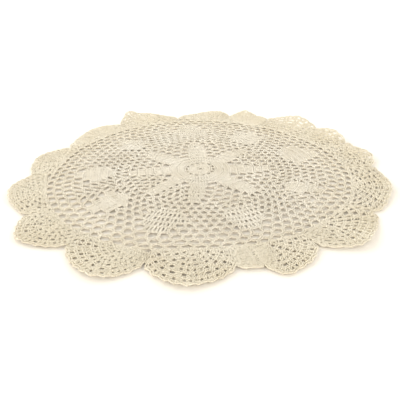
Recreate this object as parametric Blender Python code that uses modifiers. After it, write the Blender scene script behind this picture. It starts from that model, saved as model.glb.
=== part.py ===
"""A round crocheted doily, laid flat with its back edge lifted in low folds.

It is one piece of cotton cloth, worked outward in rounds: a close disc with eight
petals round it, a net with nine solid hearts in it, and a border of sixteen fans.
Angles are in degrees from the front, -Y, towards the right, +X. Lengths are in metres.
"""

import bisect
import math

import bmesh
import bpy
from mathutils import Vector
from mathutils.geometry import delaunay_2d_cdt

MAT_RADIUS = 0.190  # from the middle of the rosette to a usual scallop tip
THICKNESS = 0.002  # of the worked cotton
ROSETTE_AT = (-0.00358, 0.006896)  # the rosette, from the middle of the outline
BAR = 0.0043  # the cloth between two gaps
MOST_GAPS = 300
CREAM = (0.84, 0.76, 0.61)

# A row for each fan of the border. The valley is where the fan starts. Radii are shares of
# MAT_RADIUS, and net is how far the net reaches under the fan's tip.
FANS = [
    # valley angle, valley radius, tip angle, tip radius, net
    (345.9, 0.925, 357.8, 1.024, 0.775),
    (9.0, 0.908, 12.8, 0.932, 0.773),
    (16.3, 0.930, 20.2, 1.008, 0.775),
    (33.5, 0.900, 43.5, 1.022, 0.785),
    (59.8, 0.950, 76.5, 1.008, 0.812),
    (92.0, 0.962, 99.5, 1.012, 0.800),
    (112.4, 0.980, 121.0, 1.008, 0.785),
    (127.4, 0.975, 137.0, 1.000, 0.775),
    (149.0, 0.916, 160.0, 0.932, 0.785),
    (166.5, 0.905, 172.0, 0.960, 0.785),
    (190.0, 0.890, 209.5, 0.970, 0.775),
    (217.0, 0.900, 229.5, 0.912, 0.775),
    (248.8, 0.850, 262.0, 0.950, 0.775),
    (274.8, 0.908, 287.5, 1.002, 0.822),
    (302.2, 0.948, 312.0, 1.055, 0.835),
    (323.4, 0.942, 336.8, 1.055, 0.820),
]
FAN_POINTS = 10  # on the outline of one fan
FAN_POWER = 1.4  # of a fan's curve: 2 is an ellipse, and less is more pointed
RISE_POWER = 1.6  # of a fold's rise outward: 1 is straight, and more keeps it low for longer

# A row for each place where the border stands off the surface.
FOLDS = [
    # angle, half width, starts at this share of MAT_RADIUS, height at the edge
    (357.6, 10.0, 0.86, 0.0014),
    (44.5, 11.0, 0.84, 0.0024),
    (77.0, 12.0, 0.84, 0.0018),
    (101.0, 11.0, 0.80, 0.0035),
    (121.0, 14.0, 0.76, 0.0070),
    (138.0, 13.0, 0.74, 0.0100),
    (152.0, 12.0, 0.78, 0.0035),
    (160.5, 6.5, 0.76, 0.0075),
    (173.0, 12.0, 0.78, 0.0030),
    (206.0, 13.0, 0.76, 0.0060),
    (212.0, 6.0, 0.74, 0.0070),
    (229.0, 13.0, 0.80, 0.0035),
    (261.0, 12.0, 0.84, 0.0018),
    (287.0, 12.0, 0.86, 0.0022),
    (311.0, 9.0, 0.88, 0.0014),
    (336.0, 10.0, 0.88, 0.0018),
]

HEARTS = (22.0, 69.0, 111.0, 147.0, 187.0, 229.0, 273.0, 310.0, 343.0)  # their angles

# The net's gaps stand in rounds, at 1.5 times the pitch of the real ones. Shares are of the
# net's own radius, and a heart fills the gaps that are nearer to its angle than its half width.
NET_STARTS = 0.470
NET_ROUNDS = [
    # outer share, gaps in a whole round, half width of a heart there
    (0.540, 42, 0.0),
    (0.610, 45, 0.0),
    (0.680, 48, 11.0),
    (0.755, 51, 12.0),
    (0.833, 54, 9.5),
    (0.915, 57, 5.0),
    (0.995, 60, 0.0),
]
POINTED = 0.26  # how much of a gap's height each of its two points takes

PETALS = 8
FIRST_PETAL = 0.0
# Between two petals the gaps widen outward, one and then two side by side.
PETAL_ROUNDS = [
    # inner share, outer share, gaps, half angle that they fill together
    (0.205, 0.300, 1, 9.0),
    (0.310, 0.385, 2, 12.0),
    (0.385, 0.462, 2, 15.0),
]
MIDDLE_NET = 0.81  # the net's usual radius, as a share of MAT_RADIUS

FAN_ROWS = (0.35, 0.70)  # depths of the points that carry a fan's bend, as shares of its depth
FAN_COLUMNS = (-0.75, -0.25, 0.25, 0.75)  # and their places, as shares of its half width
SAME_POINT = 1e-7  # two points nearer than this are one


def turned(angle):
    """The angle's fan and how far along its left or right half it lies, from -1 through 0 to 1."""
    at = (angle - FANS[0][0]) % 360.0 + FANS[0][0]
    starts = [FANS[0][0]] + [row[0] + 360.0 for row in FANS[1:]]
    k = bisect.bisect_right(starts, at) - 1
    end = starts[k + 1] if k + 1 < len(starts) else starts[0] + 360.0
    tip = FANS[k][2] if k == 0 else FANS[k][2] + 360.0
    side = (end - tip) if at > tip else (tip - starts[k])
    return k, (at - tip) / side


def net_radius(angle):
    """How far the net reaches at an angle, blended between the fans' tips."""
    k, place = turned(angle)
    other = (k + (1 if place > 0 else -1)) % len(FANS)
    share = 0.5 * (1.0 - math.cos(math.pi * abs(place))) * 0.5
    return FANS[k][4] * (1.0 - share) + FANS[other][4] * share


def rim_radius(angle):
    """The outline: each fan is an arc that meets its neighbours in the valleys."""
    k, place = turned(angle)
    valley = FANS[k][1] if place < 0 else FANS[(k + 1) % len(FANS)][1]
    depth = FANS[k][3] - FANS[k][4]
    at_valley = (valley - FANS[k][4]) / depth
    return FANS[k][4] + depth * math.sqrt(1.0 - abs(place) ** FAN_POWER * (1.0 - at_valley**2))


def lift(angle, radius):
    """How high the cloth's underside stands, for a radius as a share of MAT_RADIUS."""
    height = 0.0
    for middle, half_width, start, top in FOLDS:
        across = ((angle - middle + 180.0) % 360.0 - 180.0) / half_width
        out = (radius - start) / (rim_radius(middle) - start)
        if abs(across) < 1.0 and out > 0.0:
            height += top * (1.0 - across**2) ** 2 * min(out, 1.0) ** RISE_POWER
    return height


def on_plan(angle, radius):
    """The point at an angle and a radius, as a share of MAT_RADIUS."""
    turn = math.radians(angle)
    return Vector((math.sin(turn), -math.cos(turn))) * radius * MAT_RADIUS


def on_net(angle, share):
    """The point at an angle and a share of the net's radius. The rounds even out inward."""
    reach = MIDDLE_NET + (net_radius(angle) - MIDDLE_NET) * share**2
    return on_plan(angle, share * reach)


def gap(start, end, inner, outer):
    """A six-sided gap with its points inward and outward, half a bar inside its cell."""
    middle, half = (start + end) / 2.0, (end - start) / 2.0
    across = math.radians(half) * (inner + outer) / 2.0 * MIDDLE_NET * MAT_RADIUS
    side = half * (1.0 - BAR / 2.0 / across)
    edge = BAR / 2.0 / (MIDDLE_NET * MAT_RADIUS)
    low, high = inner + edge, outer - edge
    point = (high - low) * POINTED
    corners = [
        (middle, low),
        (middle + side, low + point),
        (middle + side, high - point),
        (middle, high),
        (middle - side, high - point),
        (middle - side, low + point),
    ]
    return [on_net(*corner) for corner in corners]


def in_heart(angle, half_width):
    return any(abs((angle - heart + 180.0) % 360.0 - 180.0) < half_width for heart in HEARTS)


def gaps():
    """Every gap that is cut through, from the petals outward."""
    loops = []
    for petal in range(PETALS):
        between = FIRST_PETAL + (petal + 0.5) * 360.0 / PETALS
        for inner, outer, count, half_angle in PETAL_ROUNDS:
            width = 2.0 * half_angle / count
            for i in range(count):
                start = between - half_angle + i * width
                loops.append(gap(start, start + width, inner, outer))
    inner = NET_STARTS
    for number, (outer, count, heart) in enumerate(NET_ROUNDS):
        width = 360.0 / count
        for i in range(count):
            start = (i + 0.5 * (number % 2)) * width
            if not in_heart(start + width / 2.0, heart):
                loops.append(gap(start, start + width, inner, outer))
        inner = outer
    assert len(loops) <= MOST_GAPS, len(loops)
    return loops


def outline():
    """The points round the border, fan by fan from valley to valley."""
    points = []
    for k, (valley, _, tip, _, _) in enumerate(FANS):
        end = FANS[(k + 1) % len(FANS)][0]
        start = valley - 360.0 if k == 0 else valley
        tip = tip - 360.0 if k == 0 else tip
        end = end + 360.0 if end < start else end
        for i in range(FAN_POINTS):
            place = -math.cos(math.pi * i / FAN_POINTS)
            angle = tip + place * (end - tip if place > 0 else tip - start)
            points.append(on_plan(angle, rim_radius(angle)))
    return points


def fan_supports():
    """Points inside the fans, so that the sheet can bend there."""
    points = []
    for k, (valley, _, tip, _, _) in enumerate(FANS):
        end = FANS[(k + 1) % len(FANS)][0]
        left, right = (tip - valley) % 360.0, (end - tip) % 360.0
        for column in FAN_COLUMNS:
            angle = tip + column * (right if column > 0 else left)
            net, rim = net_radius(angle), rim_radius(angle)
            points += [on_plan(angle, net + row * (rim - net)) for row in FAN_ROWS]
    return points


def cloth_sheet():
    """The underside of the cloth as one open surface, bent by the folds."""
    edge = outline()
    loops = [edge] + gaps()
    points = [point for loop in loops for point in loop]
    owner = [number for number, loop in enumerate(loops) for _ in loop]
    sides = []
    first = 0
    for loop in loops:
        sides += [(first + i, first + (i + 1) % len(loop)) for i in range(len(loop))]
        first += len(loop)
    points += fan_supports()
    owner += [0] * (len(points) - len(owner))
    inside_only = 1
    flat, _, faces, sources, _, _ = delaunay_2d_cdt(points, sides, [], inside_only, SAME_POINT)
    loop_of = [owner[source[0]] for source in sources]

    mesh = bmesh.new()
    for x, y in flat:
        radius = math.hypot(x, y) / MAT_RADIUS
        angle = math.degrees(math.atan2(x, -y)) % 360.0
        mesh.verts.new((x, y, lift(angle, radius)))
    mesh.verts.ensure_lookup_table()
    for face in faces:
        owners = {loop_of[i] for i in face}
        if len(owners) > 1 or owners == {0}:
            mesh.faces.new([mesh.verts[i] for i in face])
    bmesh.ops.recalc_face_normals(mesh, faces=mesh.faces)
    if sum(face.normal.z for face in mesh.faces) < 0.0:
        bmesh.ops.reverse_faces(mesh, faces=mesh.faces)
    return mesh


def cotton():
    material = bpy.data.materials.new("cream_cotton")
    material.use_nodes = True
    shader = material.node_tree.nodes["Principled BSDF"]
    shader.inputs["Base Color"].default_value = (*CREAM, 1.0)
    shader.inputs["Roughness"].default_value = 0.9
    shader.inputs["Metallic"].default_value = 0.0
    return material


def build():
    for item in list(bpy.data.objects):
        bpy.data.objects.remove(item, do_unlink=True)
    parts = bpy.data.collections.new("crochet_doily")
    bpy.context.scene.collection.children.link(parts)

    sheet = cloth_sheet()
    mesh = bpy.data.meshes.new("doily")
    sheet.to_mesh(mesh)
    sheet.free()
    mesh.materials.append(cotton())
    doily = bpy.data.objects.new("doily", mesh)
    doily.location = (*ROSETTE_AT, 0.0)
    parts.objects.link(doily)

    body = doily.modifiers.new("cloth", "SOLIDIFY")
    body.thickness = THICKNESS
    body.offset = 1.0


build()
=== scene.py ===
"""The looks of the crocheted doily: every stitch in cotton yarn, a pale floor, soft light and a camera.

Angles are in degrees from the front, -Y, towards the right, +X. Lengths are in metres.
The doily's radii are shares of MAT_RADIUS. In the petals and the net a share is of the net's own
reach, which varies round the doily.
"""

import math

import bpy
import numpy as np
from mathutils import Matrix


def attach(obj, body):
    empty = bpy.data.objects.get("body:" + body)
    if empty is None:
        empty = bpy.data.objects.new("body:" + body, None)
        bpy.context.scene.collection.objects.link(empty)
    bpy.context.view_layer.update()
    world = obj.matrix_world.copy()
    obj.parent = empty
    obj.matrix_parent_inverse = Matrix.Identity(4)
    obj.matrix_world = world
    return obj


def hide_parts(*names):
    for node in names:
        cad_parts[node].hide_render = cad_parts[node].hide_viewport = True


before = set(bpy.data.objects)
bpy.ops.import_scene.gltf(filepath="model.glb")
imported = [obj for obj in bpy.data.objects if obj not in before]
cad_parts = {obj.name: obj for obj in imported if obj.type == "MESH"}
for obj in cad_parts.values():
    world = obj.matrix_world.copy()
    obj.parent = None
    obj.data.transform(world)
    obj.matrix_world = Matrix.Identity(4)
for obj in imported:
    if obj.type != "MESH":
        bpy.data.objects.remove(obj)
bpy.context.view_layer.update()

# The doily's outline and folds, as in its solid

MAT_RADIUS = 0.190  # from the middle of the rosette to a usual scallop tip
ROSETTE_AT = (-0.00358, 0.006896)
MIDDLE_NET = 0.81  # the net's usual radius

# A row for each fan of the border, from valley to valley.
FANS = np.array([
    # valley angle, valley radius, tip angle, tip radius, net, stitch width against the rows' own
    (-14.1, 0.925, -2.2, 1.024, 0.775, 0.93),
    (9.0, 0.908, 12.8, 0.932, 0.773, 1.15),
    (16.3, 0.930, 20.2, 1.008, 0.775, 1.0),
    (33.5, 0.900, 43.5, 1.022, 0.785, 1.1),
    (59.8, 0.950, 76.5, 1.008, 0.812, 1.35),
    (92.0, 0.962, 99.5, 1.012, 0.800, 1.35),
    (112.4, 0.980, 121.0, 1.008, 0.785, 1.35),
    (127.4, 0.975, 137.0, 1.000, 0.775, 1.3),
    (149.0, 0.916, 160.0, 0.932, 0.785, 1.2),
    (166.5, 0.905, 172.0, 0.960, 0.785, 1.2),
    (190.0, 0.890, 209.5, 0.970, 0.775, 1.1),
    (217.0, 0.900, 229.5, 0.912, 0.775, 1.1),
    (248.8, 0.850, 262.0, 0.950, 0.775, 1.1),
    (274.8, 0.908, 287.5, 1.002, 0.822, 1.15),
    (302.2, 0.948, 312.0, 1.055, 0.835, 0.96),
    (323.4, 0.942, 336.8, 1.055, 0.820, 0.94),
])
STARTS, VALLEYS, TIPS, TIP_RADII, NETS, WIDTHS = FANS.T
ENDS = np.append(STARTS[1:], STARTS[0] + 360.0)
FAN_POWER = 1.4  # of a fan's curve: 2 is an ellipse, and less is more pointed

# A row for each place where the border stands off the surface.
FOLDS = [
    # angle, half width, radius where it starts, height at the edge
    (357.6, 10.0, 0.86, 0.0014),
    (44.5, 11.0, 0.84, 0.0024),
    (77.0, 12.0, 0.84, 0.0018),
    (101.0, 11.0, 0.80, 0.0035),
    (121.0, 14.0, 0.76, 0.0070),
    (138.0, 13.0, 0.74, 0.0100),
    (152.0, 12.0, 0.78, 0.0035),
    (160.5, 6.5, 0.76, 0.0075),
    (173.0, 12.0, 0.78, 0.0030),
    (206.0, 13.0, 0.76, 0.0060),
    (212.0, 6.0, 0.74, 0.0070),
    (229.0, 13.0, 0.80, 0.0035),
    (261.0, 12.0, 0.84, 0.0018),
    (287.0, 12.0, 0.86, 0.0022),
    (311.0, 9.0, 0.88, 0.0014),
    (336.0, 10.0, 0.88, 0.0018),
]
RISE_POWER = 1.6  # of a fold's rise outward: 1 is straight, and more keeps it low for longer

# The close disc, worked from a ring of chains

RING = 0.018  # its radius
RING_CHAINS = 8
DISC_ROUNDS = [
    # outer radius, stitches, links of braid for each stitch
    (0.060, 24, 1),
    (0.088, 14, 2),
    (0.127, 48, 1),
    (0.165, 64, 1),
]
DISC_FOOT = 0.004  # how far outside its round's start a stitch stands

# The petals, with open cells between them

PETALS = np.array((-4.5, 45.0, 93.0, 135.0, 184.5, 234.0, 279.0, 317.5))  # their uneven angles
PETALS_START = 0.2035  # where the disc ends, as a share of the net's reach
PETAL_ROUNDS = [
    # outer share, half angle of a petal, open cells between two petals
    (0.2615, 13.5, 1),
    (0.3180, 11.5, 2),
    (0.3740, 9.5, 3),
    (0.4300, 7.0, 4),
    (0.4790, 4.0, 5),
]

# The net. A heart fills the cells that are nearer to its angle than half its width.
HEARTS = np.array([
    # angle, width against a usual heart's, rounds further out, stitch width
    (22.0, 1.10, 0, 0.0037),
    (68.0, 0.70, 0, 0.0029),
    (110.0, 1.10, 1, 0.0027),
    (148.0, 1.15, 0, 0.0027),
    (187.0, 1.00, 1, 0.0027),
    (229.0, 0.90, 0, 0.0029),
    (276.0, 1.00, 0, 0.0027),
    (310.5, 0.90, 0, 0.0027),
    (343.0, 1.10, 0, 0.0036),
])
NET_ROUNDS = [
    # outer share, cells in the whole round, half the width of a usual heart
    (0.527, 66, 0.0),
    (0.574, 69, 0.0),
    (0.620, 72, 6.0),
    (0.671, 75, 10.5),
    (0.724, 78, 9.5),
    (0.777, 81, 7.0),
    (0.836, 84, 3.5),
    (0.897, 84, 0.0),
    (0.951, 84, 0.0),
    (0.998, 84, 0.0),
]
NET_UNEVEN = 0.10  # how far a cell's edge may stand from its even place, as a share of its width
CHAINS_IN_CELL = 3
DIP = 0.0065  # how far an arch of chains starts below its round's line, in shares
BULGE = 0.0095  # and how far its middle is pulled out above it
ARCH_REACH = 0.75  # how far from its cell's edge a post may find an arch to stand on, in cells

# The rows of one fan, from the net outward. The last waves in and out.
FAN_STARTS = 0.01  # a depth, as a share of the fan's
FAN_ROWS = [
    # outer depth, stitch pitch, spread, wave
    (0.135, 0.0045, 0.00095, 0.0),
    (0.270, 0.0054, 0.00105, 0.0),
    (0.405, 0.0056, 0.00110, 0.0),
    (0.540, 0.0056, 0.00112, 0.0),
    (0.675, 0.0056, 0.00116, 0.0),
    (0.810, 0.0055, 0.00120, 0.0),
    (0.965, 0.0049, 0.00112, 0.035),
]
FAN_UNEVEN = 0.24  # how far a stitch may stand from its even place, as a share of the pitch
FEWEST_IN_ROW = 3
SEAM = 0.965  # where two fans meet, as a share of a fan's half width
NARROWEST = 0.01  # the least share of that half width that anything is divided by
WIDEST_TURN = math.radians(85.0)  # of a fan's posts, from the direction of its tip
ROW_POINTS = 161  # on the line that a row's stitches are spaced along
SHORTEST = 0.3  # of the posts that end at a seam, as a share of their row
LEAN = 0.16  # how far each foot of a pair moves towards the other, as a share of the pitch

# Yarn and stitches

YARN = 0.00063  # the radius of a strand
SIDES = 5  # of a strand
STITCH = 0.0026  # the width of a petal's stitches
UNEVEN = 0.14  # how far a stitch may stand from its even place, as a share of its width
FEWEST_IN_CELL = 2
PLIES = 3  # strands that show in one tall stitch, or post
NET_SPREAD = 0.00120  # from a post's middle to each of its strands
CLOSE_SPREAD = 0.00074
POST_TURNS = 0.8
POST_ENDS = (-0.07, 1.03)  # where its strands begin and end, as shares of its length
POST_POINTS = 6
POST_DEPTH = 0.38  # how far its strands rise and fall, as a share of their spread
CLEAR = 0.0001  # between a post and the surface below
FOOT_RISE = 0.00026  # of a post's foot, which comes up through the braid below it
HEAD_DROP = 0.00012  # of its head, which goes under its own braid
FOOT_LENGTH = 0.14  # of both, as a share of the post
BRAID_HEIGHT = 0.00122
BRAID_WIDTH = 0.00210
BACK_HEIGHT = 0.00066  # of the thread along the back of a chain

# One leg of a chain stitch's loop, from where it leaves the last loop to where it enters the next.
LEG_ALONG = np.array((-0.14, 0.35, 0.88, 1.24))  # in stitches
LEG_ACROSS = np.array((0.10, 0.46, 0.48, 0.12))  # in widths of the braid
LEG_HEIGHT = np.array((-0.00026, 0.00024, 0.00020, -0.00030))

# The cloth's slight unevenness. A wave is its radians per metre along x and along y, and its phase.
SHIFTS = [
    # how far, the wave that shifts to the right, the wave that shifts away
    (0.00055, (71.0, 38.0, 0.7), (44.0, -83.0, 2.1)),
    (0.00035, (-97.0, 163.0, 0.0), (151.0, 59.0, 0.0)),
    (0.00022, (310.0, 121.0, 1.9), (-143.0, 287.0, 0.4)),
]
RAISED = 0.00030  # its usual height, which two waves multiplied together vary from 0 to twice that
RAISED_WAVES = ((61.0, -27.0, 1.3), (33.0, 72.0, 0.0))

PIECES = 8  # equal sectors of the doily, each a mesh of its own

# Colour, light and camera

CREAM_DARK = (0.61, 0.547, 0.428, 1.0)
CREAM_LIGHT = (0.658, 0.602, 0.492, 1.0)
BORDER_TINT = (1.0, 0.982, 0.92, 1.0)
BORDER_STARTS, BORDER_FULL = 0.11, 0.17  # how far out that tint begins, and is full
PLY_STEP = 0.0016  # from one ply to the next along a strand
PLIES_ROUND = 3  # of them round a strand
FLOOR_COLOUR = (0.85, 0.79, 0.69, 1.0)
FLOOR_HALF = 6.0
SIDE_LIGHT = (1.0, 1.0, 1.0, 1.0)
TOP_LIGHT = (0.18, 0.18, 0.18, 1.0)
CAMERA_BACK = 0.465  # from the rosette towards the front
CAMERA_HEIGHT = 0.219
CAMERA_DOWN = 28.65  # below level
LENS = 44.1  # in millimetres, as the sensor's width is
SENSOR = 36.0

strands = {}  # of yarn, gathered by the number of points in each
chance = np.random.default_rng(seed=7)


def turned(angle):
    """Each angle's fan, and how far along its left or right half it lies, from -1 to 1."""
    at = (angle - STARTS[0]) % 360.0 + STARTS[0]
    k = np.searchsorted(STARTS, at, side="right") - 1
    side = np.where(at > TIPS[k], ENDS[k] - TIPS[k], TIPS[k] - STARTS[k])
    return k, (at - TIPS[k]) / side


def net_radius(angle):
    """How far the net reaches at an angle, blended between the fans' tips."""
    k, place = turned(angle)
    other = (k + np.where(place > 0, 1, -1)) % len(FANS)
    share = 0.25 * (1.0 - np.cos(np.pi * np.abs(place)))
    return NETS[k] * (1.0 - share) + NETS[other] * share


def valley_share(k, right):
    """How deep a fan still is where it meets its neighbour, as a share of its depth."""
    valley = np.where(right, VALLEYS[(k + 1) % len(FANS)], VALLEYS[k])
    return (valley - NETS[k]) / (TIP_RADII[k] - NETS[k])


def rim_radius(angle):
    """The outline: each fan is an arc that meets its neighbours in the valleys."""
    k, place = turned(angle)
    valley = valley_share(k, place >= 0)
    depth = np.sqrt(1.0 - np.abs(place) ** FAN_POWER * (1.0 - valley**2))
    return NETS[k] + (TIP_RADII[k] - NETS[k]) * depth


def lift(angle, radius):
    """How high the folds lift the cloth."""
    height = np.zeros_like(angle)
    for middle, half_width, start, top in FOLDS:
        across = ((angle - middle + 180.0) % 360.0 - 180.0) / half_width
        out = (radius - start) / (rim_radius(np.array(middle)) - start)
        bump = np.clip(1.0 - across**2, 0.0, None) ** 2
        height += top * bump * np.clip(out, 0.0, 1.0) ** RISE_POWER
    return height


def on_plan(angle, radius):
    """Points on the surface, from angles and radii."""
    turn = np.radians(angle)
    return np.stack([np.sin(turn), -np.cos(turn)], axis=-1) * (radius * MAT_RADIUS)[..., None]


def on_net(angle, share):
    """Points on the surface, from angles and shares of the net's reach. The rounds even out inward."""
    return on_plan(angle, share * (MIDDLE_NET + (net_radius(angle) - MIDDLE_NET) * share**2))


def laid(even, seen):
    """Turns evenly spaced angles into those where the cloth lies, easing between the seen ones."""
    count = len(seen)
    step = 360.0 / count
    first = np.mean(seen - np.arange(count) * step)
    slack = seen - np.arange(count) * step - first
    at = (even / step) % count
    k = np.floor(at).astype(int) % count
    share = 0.5 * (1.0 - np.cos(np.pi * (at - np.floor(at))))
    return even + first + slack[k] * (1.0 - share) + slack[(k + 1) % count] * share


def add_strands(points):
    """Keeps strands of yarn: points is (strands, stations, 3), with heights over the underside."""
    strands.setdefault(points.shape[1], []).append(points)


def sideways(run):
    """A level direction of length 1 across each run."""
    side = np.stack([-run[:, 1], run[:, 0]], axis=-1)
    return side / np.maximum(np.linalg.norm(side, axis=1, keepdims=True), 1e-9)


def add_posts(base, top, spread):
    """Tall stitches, each of strands that turn about each other, from a base to a top."""
    along = np.linspace(*POST_ENDS, POST_POINTS)
    run = top - base
    side = sideways(run)
    first = chance.uniform(0.0, 2.0 * np.pi, (len(base), 1))
    foot = FOOT_RISE * np.exp(-((along / FOOT_LENGTH) ** 2))
    head = HEAD_DROP * np.exp(-(((along - 1.0) / FOOT_LENGTH) ** 2))
    for ply in range(PLIES):
        turn = first + 2.0 * np.pi * (POST_TURNS * along[None, :] + ply / PLIES)
        points = np.empty((len(base), len(along), 3))
        points[:, :, :2] = base[:, None] + run[:, None] * along[None, :, None]
        points[:, :, :2] += side[:, None] * (spread * np.cos(turn))[:, :, None]
        points[:, :, 2] = YARN + CLEAR + POST_DEPTH * spread * (1.0 + np.sin(turn)) + (foot - head)
        add_strands(points)


def add_braid(start, end):
    """Chain stitches and stitch tops: each is a loop of two legs that the next comes out of."""
    run = end - start
    side = sideways(run)
    for hand in (-1.0, 1.0):
        points = np.empty((len(start), len(LEG_ALONG), 3))
        points[:, :, :2] = start[:, None] + run[:, None] * LEG_ALONG[None, :, None]
        points[:, :, :2] += side[:, None] * (hand * LEG_ACROSS * BRAID_WIDTH)[None, :, None]
        points[:, :, 2] = BRAID_HEIGHT + LEG_HEIGHT
        add_strands(points)


def add_ring_of_braid(radius, count):
    """A closed ring of chains or stitch tops."""
    step = 360.0 / count
    links = np.arange(count) * step
    radii = np.full(count, radius)
    add_braid(on_plan(links, radii), on_plan(links + step, radii))


def disc():
    """The ring of chains and the close rounds on it."""
    inner = RING
    add_ring_of_braid(RING, RING_CHAINS)
    for outer, count, links in DISC_ROUNDS:
        angle = np.arange(count) * 360.0 / count
        base = on_plan(angle, np.full(count, inner + DISC_FOOT))
        top = on_plan(angle, np.full(count, outer))
        add_posts(base, top, CLOSE_SPREAD)
        add_ring_of_braid(outer, count * links)
        inner = outer


def nearest(values, wanted):
    """The nearest of the values to each wanted angle, and how far it is."""
    off = (values[None, :] - wanted[:, None] + 180.0) % 360.0 - 180.0
    pick = np.abs(off).argmin(axis=1)
    return wanted + off[np.arange(len(wanted)), pick], np.abs(off).min(axis=1)


def edge_posts(edges, ends, beside_open, inner, top_share, arches):
    """The posts at the cells' edges. One beside an open cell stands on an arch, where one is near."""
    base_angle, base_share = edges.copy(), np.full(len(edges), inner)
    if len(arches):
        found, off = nearest(arches, edges)
        on_arch = beside_open & (off < ARCH_REACH * np.median(ends - edges))
        base_angle = np.where(on_arch, found, base_angle)
        base_share = np.where(on_arch, inner + BULGE, base_share)
    for spread, these in ((CLOSE_SPREAD, ~beside_open), (NET_SPREAD, beside_open)):
        if these.any():
            base = on_net(base_angle[these], base_share[these])
            add_posts(base, on_net(edges[these], top_share[these]), spread)


def solid_cell(start, end, stitch, inner, outer, start_dip, end_dip):
    """Close stitches between two edges, with a braid on top that dips towards open cells."""
    wide = math.radians(end - start) * outer * MIDDLE_NET * MAT_RADIUS
    count = max(FEWEST_IN_CELL, round(wide / stitch))
    share = np.arange(count + 1) / count
    share[1:-1] += chance.uniform(-UNEVEN, UNEVEN, count - 1) / count
    angle = start + share * (end - start)
    top = on_net(angle, outer + start_dip * (1.0 - share) + end_dip * share)
    base = on_net(angle, np.full(count + 1, inner))
    add_posts(base[1:-1], top[1:-1], CLOSE_SPREAD)
    add_braid(top[:-1], top[1:])


def chain_arches(start, end, outer):
    """The arches of chains over open cells, with the thread along their backs."""
    share = np.arange(CHAINS_IN_CELL + 1) / CHAINS_IN_CELL
    angle = start[:, None] + share * (end - start)[:, None]
    level = outer - DIP + (DIP + BULGE) * np.sin(np.pi * share) * np.ones_like(angle)
    path = on_net(angle, level)
    starts, stops = path[:, :-1].reshape(-1, 2), path[:, 1:].reshape(-1, 2)
    add_braid(starts, stops)
    back = np.stack([starts, stops], axis=1)
    add_strands(np.concatenate([back, np.full((len(back), 2, 1), BACK_HEIGHT)], axis=-1))


def round_of_cells(edges, stitch, inner, outer, arches):
    """One round: posts at the cells' edges, close stitches in solid cells, and a braid on top.

    edges are the angles where cells start, going round once, and stitch is the width of each
    cell's close stitches, or 0 where it is open. arches are the angles of the middles of the
    last round's open cells, on which posts stand. Returns this round's arches.
    """
    is_open = stitch == 0.0
    ends = np.append(edges[1:], edges[0] + 360.0)
    beside_open = is_open | np.roll(is_open, 1)
    dip = np.where(beside_open, -DIP, 0.0)
    next_dip = np.roll(dip, -1)
    edge_posts(edges, ends, beside_open, inner, outer + dip, arches)
    for i in np.flatnonzero(~is_open):
        solid_cell(edges[i], ends[i], stitch[i], inner, outer, dip[i], next_dip[i])
    chain_arches(edges[is_open], ends[is_open], outer)
    return 0.5 * (edges + ends)[is_open]


def petals():
    """The rounds with petals. Returns the last round's arches and its outer share."""
    inner, arches = PETALS_START, np.array(())
    sector = 360.0 / len(PETALS)
    for outer, half_angle, cells in PETAL_ROUNDS:
        edges, stitch = [], []
        gap = (sector - 2.0 * half_angle) / cells
        for k in range(len(PETALS)):
            edges += [k * sector - half_angle]
            stitch += [STITCH]
            edges += [k * sector + half_angle + i * gap for i in range(cells)]
            stitch += [0.0] * cells
        edges = laid(np.array(edges), PETALS)
        arches = round_of_cells(edges, np.array(stitch), inner, outer, arches)
        inner = outer
    return arches, inner


def net(arches, inner):
    """The rounds of the net, with its hearts."""
    angles, widths, rounds_out, stitches = HEARTS.T
    for number, (outer, cells, _) in enumerate(NET_ROUNDS):
        width = 360.0 / cells
        shift = 0.5 * (number % 2) + chance.uniform(-NET_UNEVEN, NET_UNEVEN, cells)
        edges = (np.arange(cells) + shift) * width
        off = np.abs((edges[:, None] + 0.5 * width - angles + 180.0) % 360.0 - 180.0)
        half_widths = widths * np.array([NET_ROUNDS[number - int(out)][2] for out in rounds_out])
        stitch = np.where(off < half_widths, stitches, 0.0).max(axis=1)
        arches = round_of_cells(edges, stitch, inner, outer, arches)
        inner = outer


def fan_width(k, turn):
    """The place that a point of fan k's rim has in its half, for a turn from its tip."""
    valley = valley_share(k, turn >= 0.0)
    return np.sign(turn) * (np.sin(turn) ** 2 / (1.0 - valley**2)) ** (1.0 / FAN_POWER)


def fan_point(k, depth, turn):
    """A point of fan k at a share of its depth and a turn from its tip's direction, in radians."""
    side = np.where(turn >= 0.0, ENDS[k] - TIPS[k], TIPS[k] - STARTS[k])
    angle = TIPS[k] + depth * fan_width(k, turn) * side
    rim = NETS[k] + np.cos(turn) * (TIP_RADII[k] - NETS[k])
    radius = net_radius(angle) * (1.0 - depth) + rim * depth
    return on_plan(angle, radius)


def fan(k):
    """The rows of one fan. Where a row meets a neighbour, its posts end at the seam."""
    turns = np.linspace(-WIDEST_TURN, WIDEST_TURN, ROW_POINTS)
    seam = SEAM / np.maximum(np.abs(fan_width(k, turns)), NARROWEST)
    inner = FAN_STARTS
    for outer, usual_pitch, spread, wave in FAN_ROWS:
        pitch = WIDTHS[k] * usual_pitch
        reach = np.minimum(outer, seam)
        shown = reach > inner + SHORTEST * (outer - inner)
        line = fan_point(k, reach, turns)[shown]
        run = np.append(0.0, np.cumsum(np.linalg.norm(np.diff(line, axis=0), axis=1)))
        count = max(FEWEST_IN_ROW, round(run[-1] / pitch))
        is_odd = np.arange(count + 1) % 2
        at = np.arange(count + 1) / count * run[-1]
        at[1:-1] += chance.uniform(-FAN_UNEVEN, FAN_UNEVEN, count - 1) * pitch
        foot = at + LEAN * pitch * np.where(is_odd, -1.0, 1.0)
        depth = np.interp(at, run, reach[shown]) - wave * is_odd
        top = fan_point(k, depth, np.interp(at, run, turns[shown]))
        base = fan_point(k, np.minimum(inner, depth), np.interp(foot, run, turns[shown]))
        add_posts(base, top, spread)
        add_braid(top[:-1], top[1:])
        inner = outer


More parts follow.
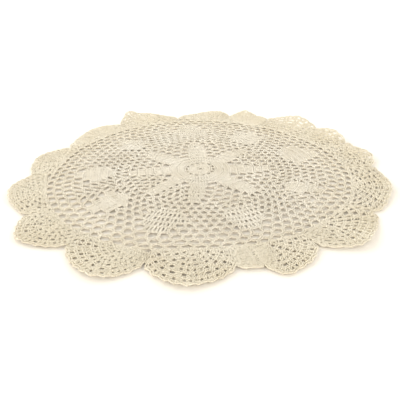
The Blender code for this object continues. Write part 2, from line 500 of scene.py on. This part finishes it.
def wave_at(x, y, along_x, along_y, phase):
    """A wave over the surface, from -1 to 1."""
    return np.sin(along_x * x + along_y * y + phase)


def in_place(points):
    """Strands where they lie: moved by the cloth's unevenness, and raised by it and by the folds."""
    x, y = points[..., 0], points[..., 1]
    shift_x = sum(far * wave_at(x, y, *right) for far, right, _ in SHIFTS)
    shift_y = sum(far * wave_at(x, y, *away) for far, _, away in SHIFTS)
    raised = RAISED * (1.0 + wave_at(x, y, *RAISED_WAVES[0]) * wave_at(x, y, *RAISED_WAVES[1]))
    x, y = x + shift_x, y + shift_y
    radius = np.hypot(x, y) / MAT_RADIUS
    angle = np.degrees(np.arctan2(x, -y)) % 360.0
    z = points[..., 2] + lift(angle, radius) + raised
    return np.stack([x + ROSETTE_AT[0], y + ROSETTE_AT[1], z], axis=-1)


def tube_vertices(points):
    """Rings of vertices along each strand: (strands, stations, sides, 3)."""
    ahead = np.gradient(points, axis=1)
    ahead /= np.maximum(np.linalg.norm(ahead, axis=2, keepdims=True), 1e-12)
    side = np.cross(ahead, (0.0, 0.0, 1.0))
    side /= np.maximum(np.linalg.norm(side, axis=2, keepdims=True), 1e-12)
    up = np.cross(side, ahead)
    around = np.arange(SIDES) * 2.0 * np.pi / SIDES
    ring = np.cos(around)[:, None] * side[:, :, None] + np.sin(around)[:, None] * up[:, :, None]
    return points[:, :, None] + ring * YARN


def tube_faces(count, stations):
    """The quads and then the end caps of that many strands."""
    first = (np.arange(count) * stations * SIDES)[:, None, None]
    row = (np.arange(stations - 1) * SIDES)[None, :, None]
    here = np.arange(SIDES)[None, None, :]
    there = (here + 1) % SIDES
    quads = np.stack([
        first + row + here,
        first + row + there,
        first + row + SIDES + there,
        first + row + SIDES + here,
    ], axis=-1)
    starts = first[:, :, 0] + np.arange(SIDES)[::-1]
    stops = first[:, :, 0] + (stations - 1) * SIDES + np.arange(SIDES)
    return quads.reshape(-1, 4), np.concatenate([starts, stops])


def tube_uvs(points):
    """The quads' UVs: metres along the yarn, and the share of a turn round it."""
    steps = np.linalg.norm(np.diff(points, axis=1), axis=2)
    run = np.concatenate([np.zeros((len(points), 1)), np.cumsum(steps, axis=1)], axis=1)
    here = np.arange(SIDES)[None, None, :]
    low, high = run[:, :-1, None] + 0.0 * here, run[:, 1:, None] + 0.0 * here
    left, right = here / SIDES + 0.0 * low, (here + 1) / SIDES + 0.0 * low
    corners = ((low, left), (low, right), (high, right), (high, left))
    return np.stack([np.stack(corner, -1) for corner in corners], axis=-2).reshape(-1, 2)


def piece(name, batches, material):
    """One mesh from batches of strands: all their quads first, and then their caps."""
    verts, quads, caps, uvs = [], [], [], []
    total = 0
    for points in batches:
        rings = tube_vertices(points).reshape(-1, 3)
        walls, ends = tube_faces(len(points), points.shape[1])
        verts.append(rings)
        quads.append(walls + total)
        caps.append(ends + total)
        uvs.append(tube_uvs(points))
        total += len(rings)
    verts, quads, caps, uvs = (np.concatenate(part) for part in (verts, quads, caps, uvs))

    mesh = bpy.data.meshes.new(name)
    mesh.vertices.add(len(verts))
    mesh.vertices.foreach_set("co", verts.astype(np.float32).ravel())
    loops = np.concatenate([quads.ravel(), caps.ravel()])
    mesh.loops.add(len(loops))
    mesh.loops.foreach_set("vertex_index", loops.astype(np.int32))
    mesh.polygons.add(len(quads) + len(caps))
    starts = np.concatenate([np.arange(len(quads)) * 4, quads.size + np.arange(len(caps)) * SIDES])
    mesh.polygons.foreach_set("loop_start", starts.astype(np.int32))
    layer = mesh.uv_layers.new(name="yarn")
    all_uvs = np.concatenate([uvs.ravel(), np.zeros(caps.size * 2)])
    layer.data.foreach_set("uv", all_uvs.astype(np.float32))
    mesh.update(calc_edges=True)
    mesh.validate()
    mesh.shade_smooth()
    mesh.materials.append(material)
    thing = bpy.data.objects.new(name, mesh)
    bpy.context.scene.collection.objects.link(thing)
    return thing


def by_sector():
    """All the strands in place, in batches for each sector."""
    sectors = [[] for _ in range(PIECES)]
    for batches in strands.values():
        for points in batches:
            middle = points[..., :2].mean(axis=1)
            angle = np.degrees(np.arctan2(middle[:, 0], -middle[:, 1])) % 360.0
            sector = (angle // (360.0 / PIECES)).astype(int)
            for number, batch in enumerate(sectors):
                these = sector == number
                if these.any():
                    batch.append(in_place(points[these]))
    return sectors


def add_node(owner, kind, values=None, **settings):
    """A node of a material or world, with values on its inputs and settings such as its operation."""
    node = owner.node_tree.nodes.new(kind)
    for name, setting in settings.items():
        setattr(node, name, setting)
    for name, value in (values or {}).items():
        node.inputs[name].default_value = value
    return node


def cream(material, place):
    """The yarn's colour: patches of lighter and darker cream, a little yellower in the border."""
    link = material.node_tree.links.new
    patches = add_node(material, "ShaderNodeTexNoise", {"Scale": 28.0, "Detail": 4.0})
    link(place, patches.inputs["Vector"])
    colours = add_node(material, "ShaderNodeValToRGB")
    dark, light = colours.color_ramp.elements
    dark.position, dark.color = 0.35, CREAM_DARK
    light.position, light.color = 0.65, CREAM_LIGHT
    link(patches.outputs["Fac"], colours.inputs["Fac"])
    far = add_node(material, "ShaderNodeVectorMath", operation="LENGTH")
    link(place, far.inputs[0])
    reach = {"From Min": BORDER_STARTS, "From Max": BORDER_FULL}
    border = add_node(material, "ShaderNodeMapRange", reach)
    link(far.outputs["Value"], border.inputs["Value"])
    # A mix of colours has its factor at input 0, its colours at 6 and 7, and its result at output 2.
    tint = {7: BORDER_TINT}
    mix = add_node(material, "ShaderNodeMix", tint, data_type="RGBA", blend_type="MULTIPLY")
    link(border.outputs["Result"], mix.inputs[0])
    link(colours.outputs["Color"], mix.inputs[6])
    return mix.outputs[2]


def yarn_relief(material, place):
    """The yarn's surface: plies that wind round it, and loose fibres."""
    link = material.node_tree.links.new
    uv = add_node(material, "ShaderNodeUVMap", uv_map="yarn")
    split = add_node(material, "ShaderNodeSeparateXYZ")
    link(uv.outputs["UV"], split.inputs["Vector"])
    run = add_node(material, "ShaderNodeMath", {1: 2.0 * math.pi / PLY_STEP}, operation="MULTIPLY")
    link(split.outputs["X"], run.inputs[0])
    around = {1: 2.0 * math.pi * PLIES_ROUND}
    turn = add_node(material, "ShaderNodeMath", around, operation="MULTIPLY_ADD")
    link(split.outputs["Y"], turn.inputs[0])
    link(run.outputs["Value"], turn.inputs[2])
    ply = add_node(material, "ShaderNodeMath", operation="SINE")
    link(turn.outputs["Value"], ply.inputs[0])
    plies = add_node(material, "ShaderNodeBump", {"Strength": 0.35, "Distance": 0.00012})
    link(ply.outputs["Value"], plies.inputs["Height"])
    fibres = add_node(material, "ShaderNodeTexNoise", {"Scale": 2600.0, "Detail": 3.0})
    link(place, fibres.inputs["Vector"])
    fuzz = add_node(material, "ShaderNodeBump", {"Strength": 0.25, "Distance": 0.00008})
    link(fibres.outputs["Fac"], fuzz.inputs["Height"])
    link(plies.outputs["Normal"], fuzz.inputs["Normal"])
    return fuzz.outputs["Normal"]


def cotton():
    """Cream cotton, soft and matt."""
    material = bpy.data.materials.new("cream_cotton_yarn")
    material.use_nodes = True
    shader = material.node_tree.nodes["Principled BSDF"]
    shader.inputs["Roughness"].default_value = 0.85
    shader.inputs["Specular IOR Level"].default_value = 0.25
    shader.inputs["Sheen Weight"].default_value = 0.15
    shader.inputs["Sheen Roughness"].default_value = 0.5
    place = add_node(material, "ShaderNodeTexCoord").outputs["Object"]
    material.node_tree.links.new(cream(material, place), shader.inputs["Base Color"])
    material.node_tree.links.new(yarn_relief(material, place), shader.inputs["Normal"])
    return material


def doily():
    """Works the whole doily, and makes a mesh of each of its sectors."""
    disc()
    arches, inner = petals()
    net(arches, inner)
    for k in range(len(FANS)):
        fan(k)
    yarn = cotton()
    for number, batches in enumerate(by_sector()):
        thing = piece(f"doily_sector_{number + 1}", batches, yarn)
        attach(thing, "root")
        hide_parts("doily")


def floor():
    """A large pale plane under the doily."""
    material = bpy.data.materials.new("pale_floor")
    material.use_nodes = True
    shader = material.node_tree.nodes["Principled BSDF"]
    shader.inputs["Base Color"].default_value = FLOOR_COLOUR
    shader.inputs["Roughness"].default_value = 0.8
    mesh = bpy.data.meshes.new("floor")
    signs = ((-1, -1), (1, -1), (1, 1), (-1, 1))
    corners = [(x * FLOOR_HALF, y * FLOOR_HALF, 0.0) for x, y in signs]
    mesh.from_pydata(corners, [], [(0, 1, 2, 3)])
    mesh.materials.append(material)
    thing = bpy.data.objects.new("floor", mesh)
    bpy.context.scene.collection.objects.link(thing)


def dome():
    """Soft light that comes mostly from the sides, and a little from above."""
    world = bpy.data.worlds.new("studio")
    world.use_nodes = True
    link = world.node_tree.links.new
    background = world.node_tree.nodes["Background"]
    background.inputs["Strength"].default_value = 3.2
    way = add_node(world, "ShaderNodeTexCoord")
    split = add_node(world, "ShaderNodeSeparateXYZ")
    link(way.outputs["Generated"], split.inputs["Vector"])
    ramp = add_node(world, "ShaderNodeValToRGB")
    ramp.color_ramp.interpolation = "EASE"
    sides, top = ramp.color_ramp.elements
    sides.position, sides.color = 0.38, SIDE_LIGHT
    top.position, top.color = 0.72, TOP_LIGHT
    link(split.outputs["Z"], ramp.inputs["Fac"])
    link(ramp.outputs["Color"], background.inputs["Color"])
    bpy.context.scene.world = world


def key_light(place, size, power):
    """A soft square light that faces the doily's middle."""
    data = bpy.data.lights.new("key", "AREA")
    data.shape = "SQUARE"
    data.size = size
    data.energy = power
    thing = bpy.data.objects.new("key", data)
    bpy.context.scene.collection.objects.link(thing)
    thing.location = place
    x, y, z = place
    thing.rotation_euler = (math.atan2(math.hypot(x, y), z), 0.0, math.atan2(-y, -x) - math.pi / 2)


def camera():
    """The view of the photograph, from the front and a little above."""
    data = bpy.data.cameras.new("camera")
    data.lens = LENS
    data.sensor_width = SENSOR
    data.clip_start = 0.01
    thing = bpy.data.objects.new("camera", data)
    bpy.context.scene.collection.objects.link(thing)
    thing.location = (ROSETTE_AT[0], ROSETTE_AT[1] - CAMERA_BACK, CAMERA_HEIGHT)
    thing.rotation_euler = (math.radians(90.0 - CAMERA_DOWN), 0.0, 0.0)
    bpy.context.scene.camera = thing


doily()
floor()
dome()
key_light(place=(-0.9, 0.9, 0.8), size=1.0, power=8.0)
camera()
bpy.context.scene.view_settings.view_transform = "Standard"
